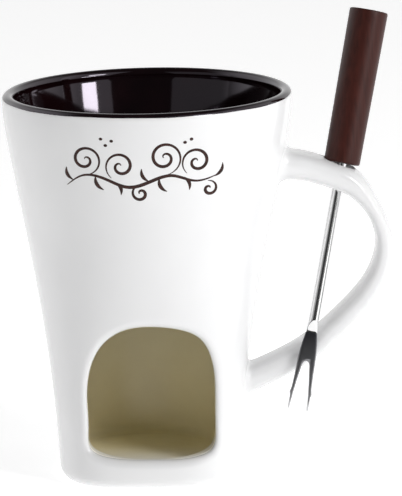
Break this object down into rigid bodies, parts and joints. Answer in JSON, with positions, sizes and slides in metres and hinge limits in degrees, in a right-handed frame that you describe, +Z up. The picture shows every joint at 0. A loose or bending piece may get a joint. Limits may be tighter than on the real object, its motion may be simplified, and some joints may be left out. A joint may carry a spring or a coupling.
{
  "type": "fondue mug with dipping fork",
  "caption": "Flared white ceramic fondue mug with a dark-glazed bowl, an arched tea-light chamber, a strap handle and a dipping fork hung in it.",
  "frame": {"origin": "on the mug's axis, in the plane of the foot ring that it stands on", "axes": "+Z up along the mug's axis, -Y out of the tea-light door, +X along the handle"},
  "size_m": [0.1351, 0.1002, 0.1617],
  "materials": {
    "white_glaze": "glossy opaque white glaze",
    "brown_glaze": "glossy dark chocolate-brown glaze",
    "buff_glaze": "satin buff wash over the clay",
    "grip_lacquer": "turned hardwood, satin red-brown lacquer",
    "steel": "polished stainless steel"
  },
  "bodies": {
    "mug": {"bowl_shell": "white_glaze", "bowl_glaze": "brown_glaze", "warmer_stand": "white_glaze", "chamber_glaze": "buff_glaze", "mug_handle": "white_glaze"},
    "fork": {"fork_grip": "grip_lacquer", "fork_shank": "steel"}
  },
  "joints": [
    {"name": "fork_lift", "type": "slide", "parent": "mug", "child": "fork", "axis": [0.1855, 0.1942, 0.9633], "range_m": [0, 0.09]}
  ]
}
